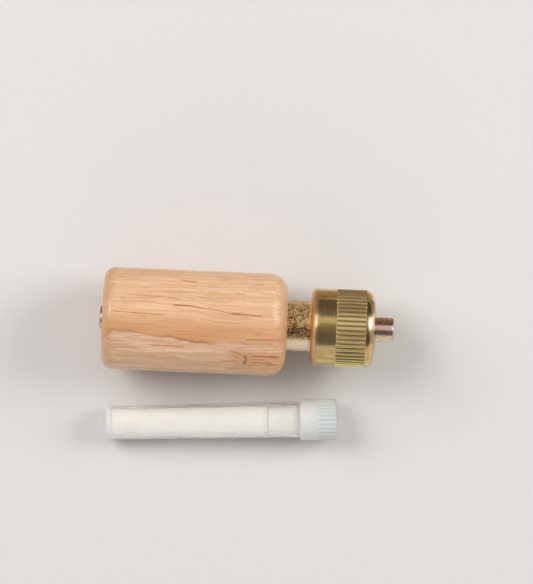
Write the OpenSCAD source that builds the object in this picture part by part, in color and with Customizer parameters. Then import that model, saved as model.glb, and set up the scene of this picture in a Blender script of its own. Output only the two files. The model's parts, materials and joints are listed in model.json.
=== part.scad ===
// Twist bird call with its rosin vial, in millimetres.
// A wooden barrel is drilled for a rough brass plug, and a steel pin runs right through both.
// Twisting the knurled knob rubs the plug in the dry wood, which chirps. The vial beside the
// call holds the powdered rosin that keeps the rub dry.
// The turning axis is X. The origin is on it, halfway along the barrel, and the knob is
// towards +X. The call and its vial lie on a table below them, and +Z is up.

/* [Barrel] */
// Diameter of the turned wooden barrel
barrel_d = 17.8; // [16:0.1:26]
// Length of the barrel
barrel_len = 32; // [30:0.5:50]
// Rounding of the edge at the far end
far_round = 1.9; // [0.5:0.1:3]
// Rounding of the edge at the mouth, where the neck comes out
mouth_round = 3.4; // [0.5:0.1:3.6]
// Length of wood past the inner end of the plug, which guides the pin
far_wall = 5.5; // [4:0.5:15]
// Width of the bevel round the mouth of the bore
mouth_bevel = 0.3; // [0.1:0.1:0.6]

/* [Friction plug] */
// Diameter of the plug and of its neck, which shows between the barrel and the knob
plug_d = 8.8; // [7.6:0.1:9.4]
// Bevel at the inner end of the plug
plug_bevel = 0.5; // [0.1:0.1:0.8]
// Length of the neck that shows
neck_gap = 4.1; // [2:0.1:8]
// Height of the cone where the neck widens to bear on the knob
neck_flare = 0.4; // [0.2:0.1:0.8]
// Diameter of the spigot that is pressed into the knob
spigot_d = 6.4; // [5.6:0.1:7]
// Length of the spigot
spigot_len = 6; // [3:0.1:8]

/* [Thumb knob] */
// Diameter over the tops of the knurl
knob_d = 13.5; // [12:0.1:15.5]
// Rounding of the rim that faces the barrel
rim_round = 1.3; // [0.4:0.1:1.6]
// Width of the smooth band next to that rim
smooth_band = 3.1; // [1:0.1:6]
// Width of the knurled band
knurl_band = 5.2; // [3:0.1:9]
// Width of the smooth land between the knurl and the rounding of the outer end
end_land = 0.1; // [0.1:0.1:1]
// Rounding of the outer end
end_round = 1.3; // [0.6:0.1:2.2]
// Diameter of the flat in the middle of the outer end
end_flat = 5.8; // [5:0.1:7.4]
// Slope of the outer end from that flat to the rounding, in degrees
end_slope = 9; // [2:1:15]
// Number of grooves in the knurl
knurl_grooves = 50; // [36:1:60]
// Depth of a groove
knurl_depth = 0.28; // [0.15:0.01:0.32]
// Height that rolling the knurl raised its tops above the smooth band
knurl_rise = 0.03; // [0.01:0.01:0.1]

/* [Axle pin] */
// Diameter of the pin that runs right through the call
pin_d = 4.2; // [3.4:0.1:4.8]
// Length that stands out of the knob
pin_tail = 3.1; // [1.5:0.1:6]
// Length that stands out of the far end of the barrel
pin_tip = 0.6; // [0.2:0.05:1]
// Rounding at both ends of the pin
pin_round = 0.4; // [0.1:0.05:0.6]

/* [Rosin vial] */
// Diameter of the tube at its closed end
tube_d = 5.9; // [5.6:0.1:6.4]
// Extra diameter that the moulding draft adds at the mouth
tube_draft = 0.5; // [0:0.05:0.6]
// Length of the tube
tube_len = 34; // [28:0.5:50]
// Thickness of the tube wall
tube_wall = 0.55; // [0.4:0.05:0.8]
// Thickness of the closed end
tube_floor = 0.4; // [0.3:0.1:2]
// Rounding of the edge at the closed end
tube_round = 0.6; // [0.3:0.1:1]
// Diameter of the smooth part of the cap
cap_d = 7.2; // [7.1:0.1:11]
// Length of the cap that shows
cap_len = 6.4; // [4:0.1:10]
// Rounding of the edges of the cap
cap_round = 0.35; // [0.1:0.05:0.5]
// Length of the stem that stops the tube
stem_len = 5.6; // [3:0.1:8]
// Diameter of the hollow in the cap and its stem
hollow_d = 2.8; // [1.5:0.1:3.2]
// Thickness of the closed end of the stem
stem_floor = 0.8; // [0.5:0.1:1.5]
// Length of the ribbed grip at the outer end of the cap
rib_len = 3.2; // [1:0.1:3.5]
// Number of grooves between the ribs
rib_grooves = 27; // [16:1:30]
// Depth of a groove between ribs
rib_depth = 0.18; // [0.1:0.01:0.25]
// Height that the tops of the ribs lie below the smooth part of the cap
rib_drop = 0.03; // [0.01:0.01:0.1]
// Empty length between the rosin and the stem
rosin_gap = 0.1; // [0.1:0.1:6]

/* [Lay-out on the table] */
// How far the closed end of the vial lies past the far end of the barrel, towards the knob
vial_shift = 1.1; // [-5:0.1:10]
// Distance from the turning axis to the axis of the vial at its closed end
vial_apart = 18.5; // [18:0.1:30]
// Turn of the vial from the direction of the barrel
vial_turn = 3.5; // [0:0.1:5]

/* [Fits] */
// Clearance all round a piece that turns or slides in another
running_fit = 0.05; // [0.02:0.01:0.09]
// Clearance all round a piece that is pressed into another
press_fit = 0.01; // [0.005:0.005:0.02]
// Clearance all round the rosin in its tube
fill_fit = 0.03; // [0.01:0.01:0.1]

/* [Hidden] */
$fn = 96;
// Cuts run past the faces that they open by this much
overrun = 1;

barrel_r = barrel_d / 2;
plug_r = plug_d / 2;
spigot_r = spigot_d / 2;
knob_r = knob_d / 2;
pin_r = pin_d / 2;
pin_bore_r = pin_r + running_fit;

// The outer end of the knob falls away as a cone outside its flat, and an arc that is tangent
// to both joins the cone to the land
smooth_r = knob_r - knurl_rise;
end_flat_r = end_flat / 2;
end_centre_r = smooth_r - end_round;
arc_start_r = end_centre_r + end_round * sin(end_slope);
arc_height = end_round * cos(end_slope);
end_height = (arc_start_r - end_flat_r) * tan(end_slope) + arc_height;

// Places along the turning axis
far_x = -barrel_len / 2;
mouth_x = barrel_len / 2;
plug_depth = barrel_len - far_wall;
plug_x = mouth_x - plug_depth;
plug_len = plug_depth + neck_gap;
knob_x = mouth_x + neck_gap;
knob_len = rim_round + smooth_band + knurl_band + end_land + end_height;
pin_x = far_x - pin_tip;
pin_len = knob_x + knob_len + pin_tail - pin_x;

// Radii of the tube, outside and inside, at its closed end and at its mouth
tube_r = tube_d / 2;
mouth_r = (tube_d + tube_draft) / 2;
bore_floor_r = tube_r - tube_wall;
bore_mouth_r = mouth_r - tube_wall;
cap_r = cap_d / 2;
stem_start = tube_len - stem_len;
rosin_len = stem_start - rosin_gap - tube_floor;

// The vial rests on the edge of its closed end and on the inner edge of its cap, which is
// wider, so its axis climbs by a small angle. The two edges are arcs that share one tangent.
edge_run = tube_len + cap_round - tube_round;
edge_rise = (cap_r - cap_round) - (tube_r - tube_round);
edge_growth = cap_round - tube_round;
vial_climb = atan(edge_rise / edge_run)
    + asin(edge_growth / sqrt(edge_run * edge_run + edge_rise * edge_rise));
vial_height = (tube_r - tube_round) * cos(vial_climb) - tube_round * sin(vial_climb) + tube_round;

// Turns what is drawn up the Z axis to lie along the X axis, from x on
module along_axis(x) {
    translate([x, 0, 0]) rotate([0, 90, 0]) children();
}

// Places what is drawn up the Z axis along the vial, which lies on the table
module along_vial(distance) {
    translate([far_x + vial_shift, -vial_apart, vial_height - barrel_r])
        rotate([0, -vial_climb, vial_turn])
            along_axis(distance) children();
}

// Radius of the bore of the tube at a distance from its closed end
function bore_r(distance) = bore_floor_r
    + (bore_mouth_r - bore_floor_r) * distance / tube_len;

// Half section of a rod with a rounded edge at its upper end
module end_outline(radius, length, edge_round) {
    square([radius, length - edge_round]);
    square([radius - edge_round, length]);
    translate([radius - edge_round, length - edge_round]) circle(r = edge_round);
}

// Half section of a rod with a rounded edge at each end
module rod_outline(radius, length, low_round, high_round) {
    translate([0, low_round]) end_outline(radius, length - low_round, high_round);
    square([radius - low_round, length - high_round]);
    translate([radius - low_round, low_round]) circle(r = low_round);
}

// Half section of the outer end of the knob, from the end of the knurl
module knob_end_outline() {
    polygon([
        [0, 0], [smooth_r, 0], [smooth_r, end_land], [arc_start_r, end_land + arc_height],
        [end_flat_r, end_land + end_height], [0, end_land + end_height]
    ]);
    intersection() {
        translate([end_centre_r, end_land]) circle(r = end_round);
        translate([0, end_land]) square([smooth_r, end_height]);
    }
}

// A disc with V grooves, equally spaced round its edge
module grooved_disc(radius, depth, count, length) {
    linear_extrude(height = length) difference() {
        circle(r = radius);
        for (i = [0 : count - 1])
            rotate(i * 360 / count)
                translate([radius, 0])
                    rotate(45) square(depth * sqrt(2), center = true);
    }
}

module barrel() {
    color("burlywood")
    along_axis(far_x) difference() {
        rotate_extrude() rod_outline(barrel_r, barrel_len, far_round, mouth_round);
        translate([0, 0, -overrun])
            cylinder(r = pin_bore_r, h = barrel_len + 2 * overrun);
        translate([0, 0, barrel_len - plug_depth - running_fit])
            cylinder(r = plug_r + running_fit, h = plug_depth + running_fit + overrun);
        translate([0, 0, barrel_len - mouth_bevel])
            cylinder(r1 = plug_r + running_fit, r2 = plug_r + running_fit + mouth_bevel + overrun,
                h = mouth_bevel + overrun);
    }
}

module friction_plug() {
    color("goldenrod")
    along_axis(plug_x) difference() {
        union() {
            cylinder(r1 = plug_r - plug_bevel, r2 = plug_r, h = plug_bevel);
            translate([0, 0, plug_bevel]) cylinder(r = plug_r, h = plug_len - plug_bevel);
            translate([0, 0, plug_len - neck_flare])
                cylinder(r1 = plug_r, r2 = plug_r + neck_flare, h = neck_flare);
            translate([0, 0, plug_len]) cylinder(r = spigot_r, h = spigot_len);
        }
        translate([0, 0, -overrun])
            cylinder(r = pin_bore_r, h = plug_len + spigot_len + 2 * overrun);
    }
}

module thumb_knob() {
    band_x = rim_round + smooth_band;
    color("gold")
    along_axis(knob_x) difference() {
        union() {
            translate([0, 0, band_x]) mirror([0, 0, 1])
                rotate_extrude() end_outline(smooth_r, band_x, rim_round);
            translate([0, 0, band_x])
                grooved_disc(knob_r, knurl_depth, knurl_grooves, knurl_band);
            translate([0, 0, band_x + knurl_band]) rotate_extrude() knob_end_outline();
        }
        translate([0, 0, -overrun])
            cylinder(r = pin_bore_r, h = knob_len + 2 * overrun);
        translate([0, 0, -overrun])
            cylinder(r = spigot_r + press_fit, h = overrun + spigot_len + press_fit);
    }
}

module axle_pin() {
    color("rosybrown")
    along_axis(pin_x) rotate_extrude() rod_outline(pin_r, pin_len, pin_round, pin_round);
}

module rosin_tube() {
    color("gainsboro", 0.5)
    along_vial(0) difference() {
        rotate_extrude() {
            polygon([
                [0, 0], [tube_r - tube_round, 0], [tube_r, tube_round],
                [mouth_r, tube_len], [0, tube_len]
            ]);
            translate([tube_r - tube_round, tube_round]) circle(r = tube_round);
        }
        translate([0, 0, tube_floor])
            cylinder(r1 = bore_r(tube_floor), r2 = bore_r(tube_len + overrun),
                h = tube_len + overrun - tube_floor);
    }
}

module rosin_cap() {
    rib_x = cap_len - rib_len;
    color("gainsboro", 0.7)
    along_vial(tube_len) difference() {
        union() {
            translate([0, 0, rib_x]) mirror([0, 0, 1])
                rotate_extrude() end_outline(cap_r, rib_x, cap_round);
            translate([0, 0, rib_x])
                grooved_disc(cap_r - rib_drop, rib_depth, rib_grooves, rib_len);
            translate([0, 0, -stem_len])
                cylinder(r1 = bore_r(stem_start) - press_fit, r2 = bore_mouth_r - press_fit,
                    h = stem_len);
        }
        translate([0, 0, stem_floor - stem_len])
            cylinder(d = hollow_d, h = stem_len + cap_len);
    }
}

module rosin_powder() {
    color("ivory")
    along_vial(tube_floor)
        cylinder(r1 = bore_r(tube_floor) - fill_fit,
            r2 = bore_r(tube_floor + rosin_len) - fill_fit, h = rosin_len);
}

barrel();
friction_plug();
thumb_knob();
axle_pin();
rosin_tube();
rosin_cap();
rosin_powder();
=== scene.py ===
# %% [markdown]
# # A twist bird call and its rosin vial
# This file dresses a twist call whose seven pieces are already modelled at their real size. The
# call is a turned wooden barrel. A rough brass plug fits its bore, a knurled knob turns the plug,
# and a pin runs right through. A thin plastic vial of powdered rosin belongs to it.
# The finished solids are loaded first and never move. Every piece below is built finer round
# them, takes its size from their boxes, and then stands for the solid that it covers.

# %% Load the frame
import json
import math
import bmesh
import bpy
from mathutils import Matrix, Vector, noise

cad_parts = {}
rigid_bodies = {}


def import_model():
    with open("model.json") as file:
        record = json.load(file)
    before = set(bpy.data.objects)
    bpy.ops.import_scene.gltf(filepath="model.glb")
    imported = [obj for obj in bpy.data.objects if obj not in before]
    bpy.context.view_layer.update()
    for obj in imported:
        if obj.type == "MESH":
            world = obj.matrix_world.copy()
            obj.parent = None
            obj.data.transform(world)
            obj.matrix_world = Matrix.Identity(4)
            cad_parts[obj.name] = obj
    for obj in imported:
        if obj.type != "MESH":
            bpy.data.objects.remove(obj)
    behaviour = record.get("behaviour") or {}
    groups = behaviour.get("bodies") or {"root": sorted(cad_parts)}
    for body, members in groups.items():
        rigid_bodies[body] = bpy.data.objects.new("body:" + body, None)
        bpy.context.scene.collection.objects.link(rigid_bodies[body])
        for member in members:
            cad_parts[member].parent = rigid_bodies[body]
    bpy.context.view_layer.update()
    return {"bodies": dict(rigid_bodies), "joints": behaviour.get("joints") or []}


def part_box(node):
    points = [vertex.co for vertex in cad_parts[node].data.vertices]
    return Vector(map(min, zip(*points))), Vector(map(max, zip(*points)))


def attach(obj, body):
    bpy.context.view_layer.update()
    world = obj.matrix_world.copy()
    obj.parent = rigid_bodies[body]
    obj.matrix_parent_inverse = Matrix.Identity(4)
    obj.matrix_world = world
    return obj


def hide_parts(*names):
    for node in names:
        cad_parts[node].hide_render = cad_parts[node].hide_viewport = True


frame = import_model()
print("bodies:", ", ".join(frame["bodies"]))

# %% [markdown]
# ## The camera
# The photograph looks straight down on the call, so the camera hangs over it with no tilt. Only
# its roll differs: the call lies 2.5 degrees off level in the picture. A long lens from 0.8 m
# keeps the view nearly parallel, as a product photograph is. The lens follows from the size of a
# pixel on the call, so the render and the photograph have one scale.

# %% Camera
MM = 0.001
PHOTO_WIDTH, PHOTO_HEIGHT = 533, 584
BARREL_PIXEL = (195.09, 321.46)
PIXEL = 0.174 * MM
CAMERA_HEIGHT = 0.8
SENSOR = 36
ROLL_DEGREES = 2.525

roll = Matrix.Rotation(math.radians(ROLL_DEGREES), 4, "Z")
across = (PHOTO_WIDTH / 2 - BARREL_PIXEL[0]) * PIXEL
upward = (BARREL_PIXEL[1] - PHOTO_HEIGHT / 2) * PIXEL
camera = bpy.data.objects.new("camera", bpy.data.cameras.new("camera"))
camera.matrix_world = Matrix.Translation(roll @ Vector((across, upward, CAMERA_HEIGHT))) @ roll
camera.data.sensor_width = SENSOR
camera.data.lens = SENSOR * CAMERA_HEIGHT / (PHOTO_HEIGHT * PIXEL)
bpy.context.scene.collection.objects.link(camera)
bpy.context.scene.camera = camera
bpy.context.scene.view_settings.view_transform = "Standard"
print(f"camera: {camera.data.lens:.0f} mm lens")

# %% [markdown]
# ## Shader maths
# A finish is a graph of nodes, and most of it is arithmetic. Placing each Math node by hand hides
# the sum that it works out. The class below wraps an output socket and gives it Python's own
# signs, so that `1 - mask * 2` adds the nodes itself. Every other node comes from one method,
# which takes its kind, its settings and its sockets.

# %% Wires and finishes
class Wire:
    """An output socket of a node, which Python's own signs work on."""

    def __init__(self, finish, node, name=0):
        self.finish = finish
        self.node = node
        self.socket = node.outputs[name] if node.outputs else None

    def out(self, name):
        """Another output of the same node."""
        return Wire(self.finish, self.node, name)

    def maths(self, operation, *values):
        return self.finish.add("Math", {"operation": operation}, dict(enumerate(values)))

    def __add__(self, other):
        return self.maths("ADD", self, other)

    def __radd__(self, other):
        return self.maths("ADD", other, self)

    def __sub__(self, other):
        return self.maths("SUBTRACT", self, other)

    def __rsub__(self, other):
        return self.maths("SUBTRACT", other, self)

    def __mul__(self, other):
        return self.maths("MULTIPLY", self, other)

    def __truediv__(self, other):
        return self.maths("DIVIDE", self, other)

    def __pow__(self, other):
        return self.maths("POWER", self, other)

    def __abs__(self):
        return self.maths("ABSOLUTE", self)


class Finish:
    """A material and the node graph behind it."""

    def __init__(self, name):
        self.material = bpy.data.materials.new(name)
        self.material.use_nodes = True
        self.tree = self.material.node_tree
        self.tree.nodes.clear()

    def add(self, kind, settings=None, sockets=None, output=0):
        """A node of this kind, with its settings made first and then its sockets."""
        node = self.tree.nodes.new("ShaderNode" + kind)
        for name, value in (settings or {}).items():
            setattr(node, name, value)
        for name, value in (sockets or {}).items():
            if isinstance(value, Wire):
                self.tree.links.new(value.socket, node.inputs[name])
            else:
                node.inputs[name].default_value = value
        return Wire(self, node, output)

    def place(self, scale=(1, 1, 1), turn=(0, 0, 0), centre=(0, 0, 0)):
        """A point of the piece in millimetres from a centre, turned and then stretched."""
        point = self.add("TexCoord").out("Object")
        sockets = {"Vector": point, "Location": centre, "Rotation": turn}
        local = self.add("Mapping", {"vector_type": "TEXTURE"}, sockets)
        stretch = {"Vector": local, "Scale": tuple(value / MM for value in scale)}
        return self.add("Mapping", {"vector_type": "POINT"}, stretch)

    def split(self, point):
        parts = self.add("SeparateXYZ", {}, {"Vector": point})
        return parts.out("X"), parts.out("Y"), parts.out("Z")

    def join(self, x, y, z):
        return self.add("CombineXYZ", {}, {"X": x, "Y": y, "Z": z})

    def noise(self, point, scale, detail=2, roughness=0.5):
        sockets = {"Vector": point, "Scale": scale, "Detail": detail, "Roughness": roughness}
        return self.add("TexNoise", {}, sockets)

    def rise(self, value, start, end):
        """0 where value is before start, 1 past end and smooth between."""
        sockets = {"Value": value, "From Min": start, "From Max": end}
        return self.add("MapRange", {"interpolation_type": "SMOOTHSTEP"}, sockets)

    def band(self, value, start, end, fade):
        """1 between start and end, and smooth down to 0 over the fade inside each of them."""
        return self.rise(value, start, start + fade) * self.rise(value, end, end - fade)

    def mix(self, factor, first, second):
        """A colour between two others."""
        first = first if isinstance(first, Wire) else (*first, 1)
        second = second if isinstance(second, Wire) else (*second, 1)
        return self.add("Mix", {"data_type": "RGBA"}, {0: factor, 6: first, 7: second}, output=2)

    def bump(self, height, distance, strength):
        sockets = {"Height": height, "Distance": distance, "Strength": strength}
        return self.add("Bump", {}, sockets)

    def close(self, shader, sockets):
        """The shader at the end of the graph, linked to the material's output."""
        surface = self.add(shader, {}, sockets)
        self.add("OutputMaterial", {}, {"Surface": surface})
        print(f"{self.material.name}: {len(self.tree.nodes)} nodes")
        return self.material


print("ready to write finishes")

# %% [markdown]
# ## The table and the light
# The call lies on a plain pale table. Its shape shows through reflections: brass and varnish are
# mirrors of the room, so the room is what needs designing. Two soft boxes stand left and right of
# the camera, as on a copy stand, and both are a little beyond the call. A weaker one fills in from
# the near side. They light matt surfaces, and gloss doesn't see them. What gloss sees is a set of
# cards: two bright ones near the soft boxes draw the highlights, and dull ones draw the bands.

# %% Table
TABLE_SIZE = 3.0
table_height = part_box("barrel")[0].z


def plain_plane(name, size_x, size_y):
    """A flat rectangle at the origin, facing up."""
    shape = bmesh.new()
    bmesh.ops.create_grid(shape, x_segments=1, y_segments=1, size=0.5)
    bmesh.ops.scale(shape, vec=(size_x, size_y, 1), verts=shape.verts[:])
    mesh = bpy.data.meshes.new(name)
    shape.to_mesh(mesh)
    shape.free()
    plane = bpy.data.objects.new(name, mesh)
    bpy.context.scene.collection.objects.link(plane)
    return plane


table_finish = Finish("table")
paper = table_finish.noise(table_finish.place(), scale=0.8, detail=4)
table_colour = table_finish.mix(paper, (0.74, 0.715, 0.705), (0.76, 0.735, 0.725))
table = plain_plane("table", TABLE_SIZE, TABLE_SIZE)
table.data.transform(Matrix.Translation((0, 0, table_height)))
table.data.materials.append(
    table_finish.close("BsdfPrincipled", {"Base Color": table_colour, "Roughness": 0.9})
)

# %% World
world = bpy.data.worlds.new("studio")
world.use_nodes = True
bpy.context.scene.world = world
FILL = 0.42
ROOM = (0.83, 0.82, 0.80)
backdrop = world.node_tree.nodes["Background"]
path = world.node_tree.nodes.new("ShaderNodeLightPath")
shows = world.node_tree.nodes.new("ShaderNodeMapRange")
shows.inputs["To Min"].default_value = 1
shows.inputs["To Max"].default_value = FILL
world.node_tree.links.new(path.outputs["Is Diffuse Ray"], shows.inputs["Value"])
world.node_tree.links.new(shows.outputs["Result"], backdrop.inputs["Strength"])
backdrop.inputs["Color"].default_value = (*ROOM, 1)
print(f"world: {FILL} of its light reaches matt surfaces")

# %% Lamps
SUBJECT = Vector((8 * MM, -4 * MM, 0))


def stand_off(target, beyond, aside, distance):
    """Faces target at the subject. Both angles are from straight up, in degrees: beyond is
    towards +Y and aside is towards +X."""
    beyond, aside = math.radians(beyond), math.radians(aside)
    away = Vector((
        math.cos(beyond) * math.sin(aside), math.sin(beyond), math.cos(beyond) * math.cos(aside)
    ))
    facing = away.to_track_quat("Z", "Y").to_matrix().to_4x4()
    target.matrix_world = Matrix.Translation(SUBJECT + away * distance) @ facing
    return target


def soft_box(name, beyond, aside, distance, width, height, power):
    lamp = bpy.data.lights.new(name, "AREA")
    lamp.shape = "RECTANGLE"
    lamp.size = width
    lamp.size_y = height
    lamp.energy = power
    box = bpy.data.objects.new(name, lamp)
    box.visible_camera = False
    box.visible_glossy = False
    bpy.context.scene.collection.objects.link(box)
    stand_off(box, beyond, aside, distance)


# Each soft box: its name, its angles beyond and aside, its distance, width and height in metres,
# and its power in watts.
SOFT_BOXES = [
    ("left_soft_box", 20, -42, 0.6, 0.34, 0.42, 2.15),
    ("right_soft_box", 16, 56, 0.6, 0.30, 0.36, 1.95),
    ("near_fill", -72, 0, 0.7, 1.0, 0.44, 1.1),
]
for values in SOFT_BOXES:
    soft_box(*values)
print(f"{len(SOFT_BOXES)} soft boxes")

# %% Cards
def card(name, beyond, aside, distance, width, height, tone):
    """A flat card of one tone that only glossy surfaces see."""
    plane = stand_off(plain_plane(name, width, height), beyond, aside, distance)
    paint = Finish(name)
    plane.data.materials.append(paint.close("Emission", {"Color": (*tone, 1)}))
    plane.visible_camera = False
    plane.visible_diffuse = False
    plane.visible_shadow = False
    plane.visible_transmission = False
    return plane


# Each card: its name, its angles beyond and aside, its distance, width and height in metres, and
# its tone.
CARDS = [
    ("left_glow", 26, -42, 0.6, 0.34, 0.34, (4.3, 4.2, 4.1)),
    ("right_glow", 23, 56, 0.6, 0.30, 0.22, (8.4, 8.2, 8.0)),
    ("far_flag", 69, 0, 0.13, 0.60, 0.20, (0.12, 0.095, 0.08)),
    ("near_flag", -33.5, 0, 0.5, 1.4, 0.41, (0.14, 0.125, 0.135)),
    ("low_card", 2, 0, 0.5, 0.6, 0.24, (0.22, 0.19, 0.13)),
    ("high_card", 22, 0, 0.5, 0.24, 0.15, (0.50, 0.44, 0.34)),
    ("near_card", -73, 0, 0.6, 1.0, 0.40, (0.62, 0.58, 0.54)),
]
# Each strip lies on the table and stands for shade on it, seen only in gloss: its name, its
# middle along Y and its width in millimetres, and its tone.
STRIPS = [
    ("far_strip", 62, 50, (0.20, 0.145, 0.10)),
    ("middle_strip", 26, 22, (0.40, 0.29, 0.215)),
    ("near_strip", -58, 50, (0.50, 0.46, 0.36)),
]
STRIP_LENGTH = 0.12
strip_height = table_height + 0.1 * MM
for values in CARDS:
    card(*values)
for name, middle, width, tone in STRIPS:
    strip = card(name, 0, 0, 0.5, STRIP_LENGTH, width * MM, tone)
    strip.matrix_world = Matrix.Translation((SUBJECT.x, middle * MM, strip_height))
print(f"{len(CARDS) + len(STRIPS)} cards")

# %% [markdown]
# ## Turning shapes on a lathe
# Every piece here is round, and was turned, drawn or moulded round. An outline of corners, given
# as distance along the axis and radius, is spun in one go, which is how the real pieces were cut.
# The rings of edges where the outline turns are then bevelled: a bevel operator makes true arcs
# and keeps the faces between them whole.

# %% Lathe
# Points closer than NEAR become one. A test of where a point is allows LOOSE. Both are metres.
NEAR = 1e-7
LOOSE = NEAR * 10


def lathe(corners, sides, closed=True):
    """Spins an outline round the X axis. A closed outline gives a piece with a bore, and one that
    starts and ends on the axis gives a solid one."""
    shape = bmesh.new()
    outline = [shape.verts.new((along, 0, radius)) for along, radius in corners]
    following = outline[1:] + outline[:1] if closed else outline[1:]
    for first, second in zip(outline, following):
        shape.edges.new((first, second))
    bmesh.ops.spin(
        shape, geom=shape.verts[:] + shape.edges[:], cent=(0, 0, 0), axis=(1, 0, 0),
        angle=math.tau, steps=sides, use_merge=True,
    )
    bmesh.ops.remove_doubles(shape, verts=shape.verts[:], dist=NEAR)
    bmesh.ops.recalc_face_normals(shape, faces=shape.faces[:])
    return shape


def radius_of(vert):
    return math.hypot(vert.co.y, vert.co.z)


def ring(shape, along, radius):
    """The edges of one ring of a turned shape."""
    on_ring = {
        vert for vert in shape.verts
        if abs(vert.co.x - along) < LOOSE and abs(radius_of(vert) - radius) < LOOSE
    }
    return [edge for edge in shape.edges if on_ring.issuperset(edge.verts)]


def ease(shape, along, radius, width, steps):
    """Rounds one ring, or cuts a plain chamfer with one step."""
    bmesh.ops.bevel(
        shape, geom=ring(shape, along, radius), offset=width, segments=steps, profile=0.5,
        affect="EDGES", material=-1,
    )


def long_edges(shape, start, end, radius):
    """The edges that run along the axis between two rings, at least as far out as radius."""
    return [
        edge for edge in shape.edges
        if all(start - NEAR < vert.co.x < end + NEAR for vert in edge.verts)
        and min(map(radius_of, edge.verts)) > radius - LOOSE
        and abs(edge.verts[0].co.x - edge.verts[1].co.x) > LOOSE
    ]


def move_out(vert, distance):
    """Moves a vertex straight away from the axis."""
    share = 1 + distance / radius_of(vert)
    vert.co.y *= share
    vert.co.z *= share


SHARP = math.radians(32)


def piece(name, shape, finish, body, slot, *nodes):
    """Makes the finished object: it rides on its body and stands for its solid."""
    for face in shape.faces:
        face.smooth = True
    for edge in shape.edges:
        edge.smooth = edge.is_manifold and edge.calc_face_angle() < SHARP
    mesh = bpy.data.meshes.new(name)
    shape.to_mesh(mesh)
    shape.free()
    mesh.materials.append(finish)
    made = bpy.data.objects.new(name, mesh)
    bpy.context.scene.collection.objects.link(made)
    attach(made, body)
    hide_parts(*nodes)
    print(f"{name}: {len(mesh.polygons)} faces on {body}")


print("lathe ready")

# %% [markdown]
# ## The barrel
# The barrel is a peg of pale hardwood, turned, sanded and dipped in clear varnish. Its far end is
# eased by a small radius and its mouth by a larger one. It is drilled for the plug from the mouth
# and for the pin right through. Two roundings and a small bevel on each bore are all the shaping
# that it has, so the wood carries its looks.

# %% Barrel shape
FAR_ROUND = 1.9 * MM
MOUTH_ROUND = 3.4 * MM
MOUTH_BEVEL = 0.3 * MM
PIN_EDGE = 0.12 * MM
FIT = 0.05 * MM
PRESS_FIT = 0.01 * MM

barrel_low, barrel_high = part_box("barrel")
plug_low, plug_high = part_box("friction_plug")
pin_low, pin_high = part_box("axle_pin")
far_x, mouth_x = barrel_low.x, barrel_high.x
barrel_radius = (barrel_high.z - barrel_low.z) / 2
pin_radius = (pin_high.z - pin_low.z) / 2
pin_bore = pin_radius + FIT
PLUG_RADIUS = 4.4 * MM
plug_bore = PLUG_RADIUS + FIT
bore_end = plug_low.x - FIT
BARREL_SIDES = 224


def build_barrel():
    shape = lathe([
        (far_x, pin_bore), (far_x, barrel_radius), (mouth_x, barrel_radius),
        (mouth_x, plug_bore), (bore_end, plug_bore), (bore_end, pin_bore),
    ], BARREL_SIDES)
    ease(shape, far_x, barrel_radius, FAR_ROUND, 12)
    ease(shape, mouth_x, barrel_radius, MOUTH_ROUND, 16)
    ease(shape, mouth_x, plug_bore, MOUTH_BEVEL, 2)
    ease(shape, far_x, pin_bore, PIN_EDGE, 1)
    return shape


barrel_shape = build_barrel()
print(f"barrel: {len(barrel_shape.faces)} faces")

# %% [markdown]
# ## Varnished wood
# Wood is a solid with a pattern all through it, so its figure is worked out in three dimensions:
# growth rings round a far-off heart, fibres drawn out along the barrel, and short pores. Because
# the pattern fills the block, the ends show end grain by themselves. The darker streaks that mark
# this piece of wood are laid in from a short list, each a line with a length and a depth. The
# varnish is the shader's coat, over wood that is rough beneath.

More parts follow.
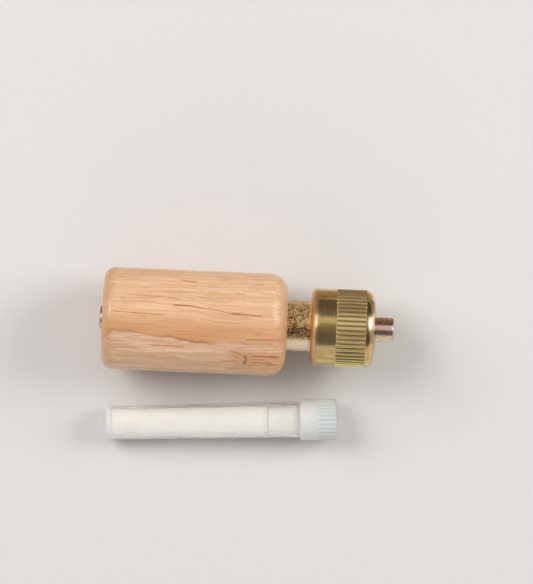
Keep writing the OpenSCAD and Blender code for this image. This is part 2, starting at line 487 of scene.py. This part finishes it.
# %% Wood figure
# Each streak: where it starts and ends along the barrel, its height at both ends, its half width
# and its depth of colour, in millimetres but for the last.
STREAKS = [
    (-4.3, 0.0, 2.78, 2.72, 0.18, 0.95),
    (-1.3, 2.9, 2.74, 2.22, 0.14, 0.75),
    (1.5, 7.2, 2.44, 1.60, 0.13, 0.62),
    (5.8, 8.5, 1.70, 1.62, 0.23, 1.00),
    (7.4, 12.1, 1.66, 1.42, 0.15, 0.85),
    (13.8, 15.0, 1.86, 1.90, 0.11, 0.65),
    (-12.6, -4.8, 4.28, 4.00, 0.11, 0.50),
    (-5.6, -2.0, 4.02, 3.74, 0.11, 0.55),
    (-14.6, -4.7, 1.26, 0.90, 0.13, 0.65),
    (-13.4, -7.9, 0.26, 0.12, 0.10, 0.40),
    (-13.6, -6.2, 3.14, 3.24, 0.10, 0.35),
    (-3.2, 0.6, 7.06, 6.80, 0.15, 0.60),
    (6.8, 8.9, 5.14, 5.08, 0.15, 0.50),
    (9.6, 12.2, 6.76, 6.86, 0.15, 0.40),
    (7.4, 10.0, 1.20, 0.92, 0.09, 0.45),
    (-3.6, 0.2, -1.74, -1.70, 0.13, 0.45),
    (9.4, 12.6, -1.28, -1.32, 0.12, 0.45),
    (8.6, 16.0, -2.70, -2.48, 0.14, 0.75),
    (7.7, 10.4, -3.34, -3.38, 0.10, 0.45),
    (-8.0, -1.2, -4.34, -4.38, 0.14, 0.60),
    (-14.6, -9.8, -5.12, -4.80, 0.12, 0.45),
    (-8.2, -2.2, -6.16, -5.92, 0.12, 0.40),
    (1.8, 6.2, -6.98, -6.80, 0.14, 0.50),
    (4.6, 8.2, -6.56, -6.50, 0.17, 0.70),
    (9.6, 15.4, -5.54, -5.52, 0.20, 0.90),
    (12.6, 15.0, -5.50, -5.56, 0.26, 0.95),
    (9.4, 14.2, -6.66, -6.56, 0.19, 0.75),
    (5.0, 8.8, -8.06, -7.70, 0.18, 0.65),
    (5.8, 8.9, -4.66, -5.40, 0.15, 0.70),
    (6.4, 8.3, -5.60, -5.90, 0.16, 0.60),
    (9.2, 12.8, -6.10, -6.02, 0.16, 0.65),
    (8.9, 11.8, -7.20, -7.06, 0.17, 0.60),
    (12.2, 15.2, -7.00, -6.86, 0.18, 0.80),
    (11.2, 14.8, -4.26, -4.34, 0.11, 0.45),
    (-14.7, -14.3, -2.48, -2.48, 0.17, 0.95),
    (15.2, 15.6, -0.34, -0.36, 0.15, 0.90),
]
KNOT = (8.5, -6.15)
KNOT_RADIUS = 0.7


def streak(wood, x, y, start, end, height, end_height, half_width, depth):
    """A dark line along the grain, 0 off it and depth on it, tapered at both ends."""
    taper = min(0.35 * (end - start), 0.9)
    along = wood.band(x, start, end, taper)
    slope = (end_height - height) / (end - start)
    off_line = abs(y - (x - start) * slope - height)
    return along * wood.rise(off_line, half_width * 1.3, 0) * depth


def wood_figure(wood):
    """Three wires: how dark the marks are, how near the knot is, and the point bent to
    follow the grain."""
    x, y, z = wood.split(wood.place())
    wander = wood.noise(wood.place((0.18, 0.3, 0.3)), scale=1, detail=2) - 0.5
    tremble = wood.noise(wood.place((0.6, 0.5, 0.5)), scale=1, detail=2) - 0.5
    line_y = y + tremble * 0.2
    off_knot = ((x - KNOT[0]) ** 2 + (y - KNOT[1]) ** 2) ** 0.5
    ragged = wood.noise(wood.place((1.6, 1.6, 1.6)), scale=1, detail=3)
    right_half = wood.rise(x, KNOT[0] - 0.1, KNOT[0] + 0.4)
    off_hook = abs(off_knot + ragged * 0.9 - KNOT_RADIUS - 0.45)
    dark = wood.rise(off_hook, 0.46, 0.05) * right_half * (0.1 + ragged * 1.5)
    for values in STREAKS:
        sockets = {0: dark, 1: streak(wood, x, line_y, *values)}
        dark = wood.add("Math", {"operation": "MAXIMUM"}, sockets)
    bend = wood.rise(x, -1, 5) * wood.rise(abs(y - 2.2), 4.5, 0.4)
    swirl = wood.rise(off_knot, 2.4, 0.3) * (x - KNOT[0]) * 0.4
    grain_y = y + bend * 0.9 + wander * 0.9 + swirl
    halo = wood.rise(off_knot, 3.4, 0.2)
    return dark * wood.rise(z, 0.5, 3), halo * wood.rise(z, 0.5, 3), wood.join(x, grain_y, z)


print(f"{len(STREAKS)} streaks")

# %% Wood finish
RING_HEART = (24.0, 9.0)


def make_wood():
    wood = Finish("varnished_wood")
    dark, halo, grain = wood_figure(wood)
    x, y, z = wood.split(grain)
    distance = ((y + RING_HEART[0]) ** 2 + (z + RING_HEART[1]) ** 2) ** 0.5
    fibre = wood.noise(wood.join(x * 0.08, y * 1.5, z * 1.5), scale=1, detail=5, roughness=0.62)
    thread = wood.noise(wood.join(x * 0.14, y * 4.6, z * 4.6), scale=1, detail=3)
    pore_field = wood.noise(wood.join(x * 0.5, y * 5.2, z * 5.2), scale=1, detail=1)
    pores = wood.rise(pore_field, 0.64, 0.76)
    ring_phase = wood.add("Math", {"operation": "FRACT"}, {0: distance * 0.36 + fibre * 0.5})
    late_wood = wood.rise(ring_phase, 0.55, 0.97) * wood.rise(ring_phase, 1.0, 0.97)

    plain_x, plain_y, plain_z = wood.split(wood.place())
    jag = wood.noise(wood.place((0.45, 0.3, 0.3)), scale=1, detail=4) - 0.5
    edge_height = (
        -2.1 - wood.rise(plain_x, -13, 5) * 1.4 - wood.rise(plain_x, 4, 9) * 2
        - wood.rise(plain_x, -14.3, -16) * 1.4 + (fibre - 0.5) * 1.2 + jag * 1.1
    )
    over_edge = plain_y - edge_height
    softness = 1 + wood.rise(plain_x, 0, 7) * 3
    sap = wood.rise(over_edge / softness, 0.25, -0.5) * wood.rise(plain_x, 13, 4)
    near_edge = wood.rise(plain_y + 2.6 + jag, 5.5, 0)
    top_side = wood.rise(plain_z, -1, 3)

    peach = wood.mix(wood.rise(fibre, 0.38, 0.62), (0.87, 0.555, 0.345), (0.78, 0.455, 0.255))
    paling = 1 - wood.rise(plain_x, 3, 10) * 0.28
    orange = wood.mix(near_edge * 0.8 * top_side * paling, peach, (0.67, 0.295, 0.112))
    pale = wood.mix(wood.rise(fibre, 0.42, 0.6), (0.85, 0.54, 0.36), (0.67, 0.405, 0.235))
    low_side = wood.rise(plain_y, -5, -8.4) * 0.45
    blush = wood.rise(abs(plain_y + jag + 4.1), 1.4, 0.6) * wood.rise(plain_x, 2, 7) * 0.75
    two_tone = wood.mix(sap + blush * (1 - sap), orange, pale)
    base = wood.mix(low_side, two_tone, (0.66, 0.375, 0.16))
    ringed = wood.mix(late_wood * 0.16 + halo * 0.4, base, (0.50, 0.24, 0.10))
    fine_lines = wood.rise(thread, 0.46, 0.70) * (0.42 + sap * 0.14)
    threaded = wood.mix(fine_lines, ringed, (0.55, 0.27, 0.11))
    pored = wood.mix(pores * 0.5, threaded, (0.42, 0.17, 0.06))
    edge_fade = wood.rise(plain_x, 6, 1) * top_side * (0.45 + wood.rise(plain_x, -7, -4) * 0.4)
    edge_line = wood.rise(abs(over_edge + 0.05), 0.32, 0) * edge_fade
    lined = wood.mix(edge_line, pored, (0.42, 0.16, 0.06))
    mark = wood.mix(wood.rise(dark, 0.45, 0.95), (0.62, 0.24, 0.065), (0.27, 0.085, 0.03))
    marked = wood.mix(wood.rise(dark, 0, 0.6) * 0.9, lined, mark)
    # Darker brown towards both rounded ends.
    darker_ends = wood.rise(plain_x, -13.4, -15.6) * 0.65 + wood.rise(plain_x, 13.6, 16) * 0.45
    ended = wood.mix(darker_ends, marked, (0.54, 0.275, 0.105))

    across = (plain_y ** 2 + plain_z ** 2) ** 0.5
    deep = wood.rise(plain_x, bore_end / MM - 0.6, bore_end / MM - 0.1)
    plug_wall = wood.rise(across, plug_bore / MM + 0.25, plug_bore / MM - 0.05)
    pin_wall = wood.rise(across, pin_bore / MM + 0.15, pin_bore / MM - 0.05)
    inside = plug_wall * deep + pin_wall * (1 - deep)
    # Darker brown inside the bores, which have no varnish.
    retoned = wood.mix(inside * 0.55, ended, (0.34, 0.22, 0.12))
    height = thread * 0.5 - pores * 0.8 - dark * 0.5 + fibre * 0.4
    return wood.close("BsdfPrincipled", {
        "Base Color": retoned,
        "Roughness": 0.55 + (fibre - 0.5) * 0.2,
        "Coat Weight": (1 - inside) * (1 - dark * 0.3) * (1 - wood.rise(plain_x, 11, 14) * 0.5),
        "Coat Roughness": 0.27,
        "Coat IOR": 1.5,
        "Normal": wood.bump(height, 0.03 * MM, 0.6),
    })


piece("barrel_wood", barrel_shape, make_wood(), "barrel", "varnished_wood", "barrel")

# %% [markdown]
# ## The friction plug
# The plug is what sings: its skin is left rough, so that it grips the dry wood and lets go again
# many times in a turn. A bump in the shader would look right from afar, but this skin is a shape,
# so the plug is cut into a fine net and every point is sunk by a noise. Nothing rises past the
# plug's own radius, and it still slides in its bore.

# %% Plug shape
knob_low, knob_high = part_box("thumb_knob")
knob_x, knob_end = knob_low.x, knob_high.x
SPIGOT_RADIUS = 3.2 * MM
PLUG_BEVEL = 0.5 * MM
FLARE = 0.4 * MM
PIT_DEPTH = 0.05 * MM
PLUG_SIDES = 230
PLUG_RINGS = 250


def build_plug():
    inner, spigot_end = plug_low.x, plug_high.x
    shape = lathe([
        (inner, pin_bore), (inner, PLUG_RADIUS - PLUG_BEVEL), (inner + PLUG_BEVEL, PLUG_RADIUS),
        (knob_x - FLARE, PLUG_RADIUS), (knob_x, PLUG_RADIUS + FLARE), (knob_x, SPIGOT_RADIUS),
        (spigot_end, SPIGOT_RADIUS), (spigot_end, pin_bore),
    ], PLUG_SIDES)
    skin = long_edges(shape, inner + PLUG_BEVEL, knob_x - FLARE, PLUG_RADIUS)
    bmesh.ops.subdivide_edges(shape, edges=skin, cuts=PLUG_RINGS)
    for vert in shape.verts:
        if radius_of(vert) > PLUG_RADIUS - LOOSE and vert.co.x < knob_x - NEAR:
            point = vert.co / MM
            pit = 0.6 * noise.noise(point * 3.1) + 0.4 * noise.noise(point * 6.7)
            move_out(vert, -PIT_DEPTH * (0.5 - max(-0.5, min(0.5, pit))))
    return shape


plug_shape = build_plug()
print(f"plug: {len(plug_shape.faces)} faces")

# %% [markdown]
# ## Brass
# The plug and the knob are cut from one kind of brass, and differ in their skin. On the rough
# plug, dull brown metal and bright grains lie side by side, so one noise drives the colour and
# the roughness together. On the knob, the tool left fine rings round the turned bands, and the
# roots of the knurl have kept a brown film. The cards alone don't draw every band of light on
# metal this small, so painted highlights, painted reflections and painted shade, set out in soft
# zones along and across it, add what is missing.

# %% Brass finishes
# Where along Y, in millimetres, the painted highlight on the knob lies.
GLOW_LINE = 1.2


def make_rough_brass():
    brass = Finish("rough_brass")
    x, y, z = brass.split(brass.place())
    grains = brass.noise(brass.place(), scale=4.2, detail=4, roughness=0.7)
    patches = brass.noise(brass.place(), scale=0.9, detail=3)
    upper = brass.rise(z, 0.4, 1.8) * brass.rise(x, mouth_x / MM - 2, mouth_x / MM)
    # This mask paints a pale cream reflection low on the near side of the neck, with paler, less
    # metallic grains there.
    retoned = brass.rise(y + (patches - 0.5) * 0.8, -1.9, -3.0) * upper
    # lit brightens the grains on the upper side and makes them less metallic, as painted light, and
    # shaded darkens a band just below the axis, as painted shade.
    lit = brass.rise(y, -0.2, 1.3) * upper
    shaded = brass.rise(abs(y + 1.1), 1.0, 0.3)
    balance = retoned * 0.14 + lit * 0.016 - shaded * 0.03
    glint = brass.rise(grains + (patches - 0.5) * 0.3 + balance, 0.465, 0.52)
    skin = brass.mix(glint, (0.10, 0.045, 0.01), (1.0, 0.69, 0.32))
    return brass.close("BsdfPrincipled", {
        "Base Color": brass.mix(retoned * 0.8, skin, (1.0, 0.90, 0.73)),
        "Metallic": 0.78 - retoned * 0.4 - lit * 0.38,
        "Roughness": 0.34 - glint * 0.12,
        "Normal": brass.bump(grains, 0.05 * MM, 1.0),
    })


def make_knob_brass():
    brass = Finish("knob_brass")
    x, y, z = brass.split(brass.place())
    outward = (y ** 2 + z ** 2) ** 0.5
    rings = brass.noise(brass.join(x * 14, y * 0.35, z * 0.35), scale=1, detail=3, roughness=0.7)
    cloud = brass.noise(brass.place(), scale=0.55, detail=4, roughness=0.6)
    speck = brass.noise(brass.place(), scale=7, detail=2)
    off_glow = abs(y - GLOW_LINE)
    near_side = brass.rise(y, -2.8, -4.4)
    root = brass.rise(outward, knob_radius / MM - 0.05, knob_radius / MM - 0.24)
    on_knurl = brass.band(x, knurl_start / MM, knurl_end / MM, 0.1)
    film = root * on_knurl * (0.8 + near_side * 0.2)
    # This band along the highlight line of the knurl is made less metallic, so that it shows paler:
    # a painted sheen.
    painted_sheen_band = brass.rise(off_glow, 2.2, 0.5) * on_knurl * (1 - root * 0.5)
    # Worn crests are paler than the roots. Their colour is also painted darker towards the far side
    # and brighter towards the near side: painted shade and a painted highlight.
    far_side = brass.rise(y, 1.6, 4.2) * on_knurl
    bright = brass.mix(brass.rise(cloud, 0.4, 0.65), (0.80, 0.61, 0.30), (0.70, 0.51, 0.23))
    spotted = brass.mix(brass.rise(speck, 0.60, 0.72) * 0.35, bright, (0.50, 0.37, 0.16))
    crest = brass.mix(far_side * 0.4, (0.98, 0.78, 0.42), (0.52, 0.37, 0.16))
    crest = brass.mix(near_side * 0.9, crest, (1.0, 0.87, 0.40))
    crest_wear_and_painted_light = brass.mix(on_knurl * (0.7 + near_side * 0.25), spotted, crest)
    # The rim facing the barrel is painted a darker, warmer brass: a painted reflection of the
    # wooden barrel.
    rim = brass.rise(x, (knob_x + RIM_ROUND * 1.25) / MM, (knob_x + RIM_ROUND * 0.4) / MM)
    warm = brass.mix(rim * 0.85, crest_wear_and_painted_light, (0.78, 0.48, 0.265))
    up = brass.rise(z, 0.5, 2.5)
    outer = brass.rise(x, knurl_end / MM, knurl_end / MM + 0.3) * brass.rise(outward, 3.8, 6.2) * up
    near_rim = brass.rise(x, knob_x / MM + 0.3, knob_x / MM + 0.7)
    near_rim = near_rim * brass.rise(x, knob_x / MM + 1.8, knob_x / MM + 1.3) * up
    # A painted highlight, paler and rougher, on the top of the rounded end and beside the rim.
    glow = brass.rise(off_glow, 1.5, 0.6) * (outer + near_rim * 0.7)
    # Painted shade: dark bands on the rounded end, above and below that highlight.
    shady = outer * brass.rise(off_glow, 1.1, 1.7) * brass.rise(off_glow, 4.1, 3.3)
    plain = brass.rise(x, knurl_start / MM + 0.1, knurl_start / MM) * (1 - rim) * up
    # A painted sheen along the top of the plain band.
    sheen = brass.rise(abs(y - 1.6), 2.2, 0.5) * plain
    lifted = brass.mix(sheen * 0.8, warm, (1.0, 0.79, 0.42))
    # A painted orange reflection along the far edge of the rounded end.
    lifted = brass.mix(outer * brass.rise(y, 4.2, 5.2) * 0.8, lifted, (1.0, 0.78, 0.50))
    ended = brass.mix(shady * 0.85, lifted, (0.36, 0.26, 0.155))
    glow_tone = brass.mix(outer, (0.98, 0.74, 0.47), (1.0, 0.87, 0.66))
    ended = brass.mix(glow * 0.85, ended, glow_tone)
    colour = brass.mix(film, ended, (0.26, 0.17, 0.05))
    dull = film * 0.2 + rim * 0.2 + on_knurl * 0.14
    return brass.close("BsdfPrincipled", {
        "Base Color": colour,
        "Metallic": 1.0 - painted_sheen_band * 0.42,
        "Roughness": 0.15 + dull + cloud * 0.1 + brass.rise(speck, 0.55, 0.7) * 0.12 + glow * 0.13,
        "Normal": brass.bump(rings + speck * 0.5, 0.008 * MM, 0.6),
    })


rough_brass = make_rough_brass()
piece("friction_plug_rough", plug_shape, rough_brass, "knob", "rough_brass", "friction_plug")

# %% [markdown]
# ## The knob
# The knob is turned from bar: a rounded rim faces the barrel, then come a plain band and fifty
# straight grooves, rolled in for grip. Past them a rounded corner leads to an end that rises as a
# shallow cone to a flat round the pin. The spin has twelve sides to each groove. The grooves are
# then made by drawing those points towards the axis, so both flanks, the crest and the run-out at
# each end are real faces.

# %% Knob shape
knob_radius = (knob_high.z - knob_low.z) / 2
RIM_ROUND = 1.3 * MM
SMOOTH_BAND = 3.1 * MM
KNURL_BAND = 5.2 * MM
END_ROUND = 1.3 * MM
END_FLAT = 2.9 * MM
END_BLEND = 0.5 * MM
END_SLOPE = math.radians(9)
GROOVES = 50
GROOVE_DEPTH = 0.28 * MM
KNURL_RISE = 0.03 * MM
BORE_BEVEL = 0.25 * MM
RUN_OUT = 0.16 * MM
SIDES_PER_GROOVE = 12
KNOB_SIDES = GROOVES * SIDES_PER_GROOVE
knurl_start = knob_x + RIM_ROUND + SMOOTH_BAND
knurl_end = knurl_start + KNURL_BAND


def groove_at(vert, count, depth):
    """How deep a groove is at a vertex, for a count of grooves spaced round the axis. Each is
    narrow at its root, and the crests between them are round."""
    turn = math.atan2(vert.co.z, vert.co.y) / math.tau * count
    off_root = abs(turn - round(turn)) * 2
    return depth * (1 - math.sin(off_root * math.pi / 2) ** 1.3)


def cut_grooves(shape, start, end, radius, count, depth, run_out):
    """Sinks grooves into the band between two rings, with a run-out at both ends."""
    band = [
        vert for vert in shape.verts
        if start - NEAR < vert.co.x < end + NEAR and abs(radius_of(vert) - radius) < LOOSE
    ]
    for vert in band:
        reach = max(0, min(1, (vert.co.x - start) / run_out, (end - vert.co.x) / run_out))
        move_out(vert, -groove_at(vert, count, depth) * reach ** 0.5)


def slice_at(shape, places):
    """Adds a ring of vertices at each place along the axis."""
    for along in places:
        everything = shape.verts[:] + shape.edges[:] + shape.faces[:]
        bmesh.ops.bisect_plane(
            shape, geom=everything, dist=NEAR, plane_co=(along, 0, 0), plane_no=(1, 0, 0)
        )


def build_knob():
    plain_radius = knob_radius - KNURL_RISE
    socket_radius, socket_end = SPIGOT_RADIUS + PRESS_FIT, plug_high.x + PRESS_FIT
    corner_x = knob_end - (plain_radius - END_FLAT) * math.tan(END_SLOPE)
    corner_width = END_ROUND * math.tan((math.pi / 2 - END_SLOPE) / 2)
    shape = lathe([
        (knob_x, socket_radius), (knob_x, plain_radius), (knurl_start, plain_radius),
        (knurl_start, knob_radius), (knurl_end, knob_radius), (knurl_end, plain_radius),
        (corner_x, plain_radius), (knob_end, END_FLAT), (knob_end, pin_bore),
        (socket_end, pin_bore), (socket_end, socket_radius),
    ], KNOB_SIDES)
    ease(shape, knob_x, plain_radius, RIM_ROUND, 10)
    ease(shape, corner_x, plain_radius, corner_width, 12)
    ease(shape, knob_end, END_FLAT, END_BLEND, 4)
    ease(shape, knob_end, pin_bore, BORE_BEVEL, 2)
    slice_at(shape, [knurl_start + RUN_OUT * step / 3 for step in (1, 2, 3)])
    slice_at(shape, [knurl_end - RUN_OUT * step / 3 for step in (1, 2, 3)])
    cut_grooves(shape, knurl_start, knurl_end, knob_radius, GROOVES, GROOVE_DEPTH, RUN_OUT)
    return shape


knob_brass = make_knob_brass()
piece("thumb_knob_brass", build_knob(), knob_brass, "knob", "knob_brass", "thumb_knob")

# %% [markdown]
# ## The pin
# The pin is a length of drawn wire, cut and tumbled so that its edges are round. It is a warm,
# coppery grey, with brown blotches of old oxide along one side. A long rod needs nothing but a
# spin and two bevels.

# %% Pin
PIN_ROUND = 0.4 * MM
PIN_SIDES = 96


def build_pin():
    shape = lathe([
        (pin_low.x, 0), (pin_low.x, pin_radius), (pin_high.x, pin_radius), (pin_high.x, 0),
    ], PIN_SIDES, closed=False)
    ease(shape, pin_low.x, pin_radius, PIN_ROUND, 6)
    ease(shape, pin_high.x, pin_radius, PIN_ROUND, 6)
    return shape


def make_pin_steel():
    steel = Finish("pin_steel")
    x, y, z = steel.split(steel.place())
    blotch = steel.noise(steel.place(), scale=2.6, detail=3, roughness=0.65)
    drawn = steel.noise(steel.join(x * 0.6, y * 9, z * 9), scale=1, detail=2)
    long_side = steel.band(x, pin_low.x / MM + 0.1, pin_high.x / MM - 0.1, 0.3)
    shank = long_side * steel.rise(z, 0, 1)
    side = steel.rise(y, 0.9, 1.7)
    stain = steel.rise(blotch + side * 0.16, 0.56, 0.65) * (0.25 + long_side * 0.75)
    bare = steel.mix(drawn, (0.66, 0.52, 0.45), (0.52, 0.40, 0.36))
    # A pale pink stripe along the top of the pin is a painted highlight, and a paler lower side
    # below it is a painted reflection.
    painted_pink_stripe = steel.rise(abs(y - 0.36), 0.6, 0.3) * shank
    low_side = steel.rise(y, -0.6, -1.1) * shank
    pink = steel.mix(painted_pink_stripe * 0.9, bare, (1.0, 0.73, 0.75))
    pin_with_painted_light = steel.mix(low_side * 0.85, pink, (1.0, 0.82, 0.64))
    return steel.close("BsdfPrincipled", {
        "Base Color": steel.mix(stain, pin_with_painted_light, (0.53, 0.25, 0.095)),
        "Metallic": 1.0 - painted_pink_stripe * 0.45,
        "Roughness": 0.2 + stain * 0.35 + drawn * 0.08,
        "Normal": steel.bump(drawn - stain, 0.012 * MM, 0.7),
    })


piece("axle_pin_steel", build_pin(), make_pin_steel(), "pin", "pin_steel", "axle_pin")

# %% [markdown]
# ## The vial
# The vial is a thin moulded tube that widens a little to its mouth, stopped by a cap with a hollow
# stem, and packed with powder. It lies beside the call at a small angle, and the wide cap tilts it
# up a degree. Its pieces are turned about the X axis like the others, and then one matrix, made
# from the direction in which the cap pulls off, lays them in their place.

# %% Vial measures
VIAL_SHIFT = 1.1 * MM
VIAL_APART = 18.5 * MM
VIAL_RISE = 2.938 * MM
TUBE_LENGTH = 34 * MM
TUBE_RADIUS = 2.95 * MM
MOUTH_RADIUS = 3.2 * MM
TUBE_WALL = 0.55 * MM
TUBE_FLOOR = 0.4 * MM
TUBE_ROUND = 0.6 * MM
STEM_LENGTH = 5.6 * MM
STEM_FLOOR = 0.8 * MM
HOLLOW_RADIUS = 1.4 * MM
CAP_RADIUS = 3.6 * MM
CAP_LENGTH = 6.4 * MM
CAP_ROUND = 0.35 * MM
RIB_LENGTH = 3.2 * MM
RIB_COUNT = 27
RIB_DEPTH = 0.18 * MM
RIB_DROP = 0.03 * MM
VIAL_SIDES = 144

pull = next(joint for joint in frame["joints"] if joint["name"] == "cap_pull")
vial_direction = Vector(pull["axis"]).normalized()
vial_start = Vector((far_x + VIAL_SHIFT, -VIAL_APART, barrel_low.z + VIAL_RISE))
vial_angle = math.atan2(vial_direction.y, vial_direction.x)
vial_turn = Matrix.Rotation(vial_angle, 4, "Z")
vial_climb = Matrix.Rotation(-math.asin(vial_direction.z), 4, "Y")
vial_place = Matrix.Translation(vial_start) @ vial_turn @ vial_climb
stem_start = TUBE_LENGTH - STEM_LENGTH


def bore_radius(along):
    """Radius of the tube's bore at a distance from its closed end."""
    return TUBE_RADIUS - TUBE_WALL + (MOUTH_RADIUS - TUBE_RADIUS) * along / TUBE_LENGTH


def lay_down(shape):
    """Moves a piece of the vial from the X axis to its place on the table."""
    bmesh.ops.transform(shape, matrix=vial_place, verts=shape.verts[:])
    return shape


def place_on_vial(plastic, scale):
    """A point in millimetres from the vial's closed end, with X along the vial."""
    return plastic.place(scale, (0, 0, vial_angle), tuple(vial_start))


print(f"vial turned {math.degrees(vial_angle):.1f} degrees")

# %% Tube
def build_tube():
    shape = lathe([
        (0, 0), (0, TUBE_RADIUS), (TUBE_LENGTH, MOUTH_RADIUS),
        (TUBE_LENGTH, MOUTH_RADIUS - TUBE_WALL), (TUBE_FLOOR, bore_radius(TUBE_FLOOR)),
        (TUBE_FLOOR, 0),
    ], VIAL_SIDES, closed=False)
    ease(shape, 0, TUBE_RADIUS, TUBE_ROUND, 6)
    ease(shape, TUBE_FLOOR, bore_radius(TUBE_FLOOR), TUBE_WALL / 2, 4)
    return lay_down(shape)


def make_clear_plastic():
    plastic = Finish("milky_tube")
    squeeze = 0.35
    along = place_on_vial(plastic, (squeeze, 3, 3))
    scuffs = plastic.noise(along, scale=1.4, detail=4, roughness=0.6)
    haze = plastic.noise(plastic.place(), scale=0.5, detail=2)
    distance = plastic.split(along)[0] / squeeze
    clear = plastic.add("BsdfPrincipled", {}, {
        "Base Color": plastic.mix(haze, (1.0, 1.0, 0.995), (0.985, 0.99, 0.98)),
        "Roughness": 0.04 + plastic.rise(scuffs, 0.5, 0.75) * 0.12,
        "IOR": 1.32,
        "Transmission Weight": 0.94,
        "Normal": plastic.bump(scuffs, 0.01 * MM, 0.4),
    })
    frosted = plastic.add("BsdfPrincipled", {}, {
        "Base Color": plastic.mix(scuffs, (0.95, 0.945, 0.92), (0.99, 0.985, 0.96)),
        "Roughness": 0.35,
    })
    floor_frost = plastic.rise(distance, 1.4, 0.3) * 0.55
    # The next two masks mix in more of the frosted plastic as painted light: a thin ring where the
    # powder ends at the stem, over the shade in the gap between them, and the last stretch of the
    # tube, over the shade where it meets the cap.
    stem_ring = plastic.rise(abs(distance - 28.2), 0.6, 0.1) * 0.1
    mouth_painted_light = plastic.rise(distance, 32.2, 34) * 0.16
    frost = 0.08 + floor_frost + stem_ring + mouth_painted_light
    return plastic.close("MixShader", {0: frost, 1: clear, 2: frosted})


piece("rosin_tube_clear", build_tube(), make_clear_plastic(), "vial", "milky_tube", "rosin_tube")

# %% Cap
def build_cap():
    low_x, end_x = stem_start, TUBE_LENGTH + CAP_LENGTH
    rib_x = end_x - RIB_LENGTH
    hollow_x = low_x + STEM_FLOOR
    rib_radius = CAP_RADIUS - RIB_DROP
    shape = lathe([
        (low_x, 0), (low_x, bore_radius(low_x) - PRESS_FIT),
        (TUBE_LENGTH, bore_radius(TUBE_LENGTH) - PRESS_FIT), (TUBE_LENGTH, CAP_RADIUS),
        (rib_x, CAP_RADIUS), (rib_x, rib_radius), (end_x, rib_radius),
        (end_x, HOLLOW_RADIUS), (hollow_x, HOLLOW_RADIUS), (hollow_x, 0),
    ], RIB_COUNT * SIDES_PER_GROOVE, closed=False)
    ease(shape, TUBE_LENGTH, CAP_RADIUS, CAP_ROUND, 5)
    slice_at(shape, [rib_x + RUN_OUT, end_x - RUN_OUT])
    cut_grooves(shape, rib_x, end_x, rib_radius, RIB_COUNT, RIB_DEPTH, RUN_OUT)
    return lay_down(shape)


def make_milky_plastic():
    plastic = Finish("milky_cap")
    haze = plastic.noise(plastic.place(), scale=0.45, detail=3) - 0.5
    skin = plastic.noise(plastic.place(), scale=3.5, detail=3)
    along = place_on_vial(plastic, (1, 1, 1))
    distance = plastic.split(along)[0] + haze
    dusted = plastic.rise(distance, 35.5, 32.5)
    ribbed = plastic.rise(distance, 35.5, 38.5)
    # The grey of the cap is the plastic's own; its green tint, stronger on the ribbed end, is a
    # painted reflection.
    milky = plastic.mix(ribbed, (0.80, 0.81, 0.79), (0.69, 0.74, 0.71))
    return plastic.close("BsdfPrincipled", {
        "Base Color": plastic.mix(dusted, milky, (0.90, 0.88, 0.83)),
        "Roughness": 0.3 + skin * 0.12,
        "IOR": 1.5,
        "Transmission Weight": 0.1,
        "Normal": plastic.bump(skin, 0.01 * MM, 0.5),
    })


piece("rosin_cap_milky", build_cap(), make_milky_plastic(), "vial_cap", "milky_cap", "rosin_cap")

# %% [markdown]
# ## The powder
# The powder is packed against the wall, but not evenly: it has shrunk off it here and there. A
# lumpy skin sunk by noise gives that, and the shader adds the fine grain.

# %% Powder
POWDER_END = 0.1 * MM
FILL_FIT = 0.03 * MM
LUMP = 0.09 * MM
POWDER_RINGS = 200


def build_powder():
    start, end = TUBE_FLOOR, stem_start - POWDER_END
    shape = lathe([
        (start, 0), (start, bore_radius(start) - FILL_FIT), (end, bore_radius(end) - FILL_FIT),
        (end, 0),
    ], VIAL_SIDES, closed=False)
    ease(shape, start, bore_radius(start) - FILL_FIT, TUBE_WALL / 2, 4)
    skin = long_edges(shape, start, end, TUBE_RADIUS - TUBE_WALL - FILL_FIT)
    bmesh.ops.subdivide_edges(shape, edges=skin, cuts=POWDER_RINGS)
    for vert in shape.verts:
        if radius_of(vert) > TUBE_WALL:
            point = vert.co / MM
            lump = 0.6 * noise.noise(point * 1.1) + 0.4 * noise.noise(point * 3.3)
            move_out(vert, -LUMP * max(0, 0.4 + lump))
    return lay_down(shape)


def make_powder():
    powder = Finish("white_powder")
    grain = powder.noise(powder.place(), scale=9, detail=3, roughness=0.7)
    clump = powder.noise(powder.place(), scale=0.7, detail=4)
    pale = powder.mix(powder.rise(clump, 0.35, 0.7), (0.925, 0.905, 0.86), (0.90, 0.875, 0.825))
    return powder.close("BsdfPrincipled", {
        "Base Color": powder.mix(powder.rise(grain, 0.55, 0.7) * 0.25, pale, (0.85, 0.82, 0.75)),
        "Roughness": 0.92 - clump * 0.1,
        "Diffuse Roughness": 1.0,
        "Normal": powder.bump(grain, 0.05 * MM, 0.7),
    })


piece("rosin_powder_packed", build_powder(), make_powder(), "vial", "white_powder", "rosin_powder")
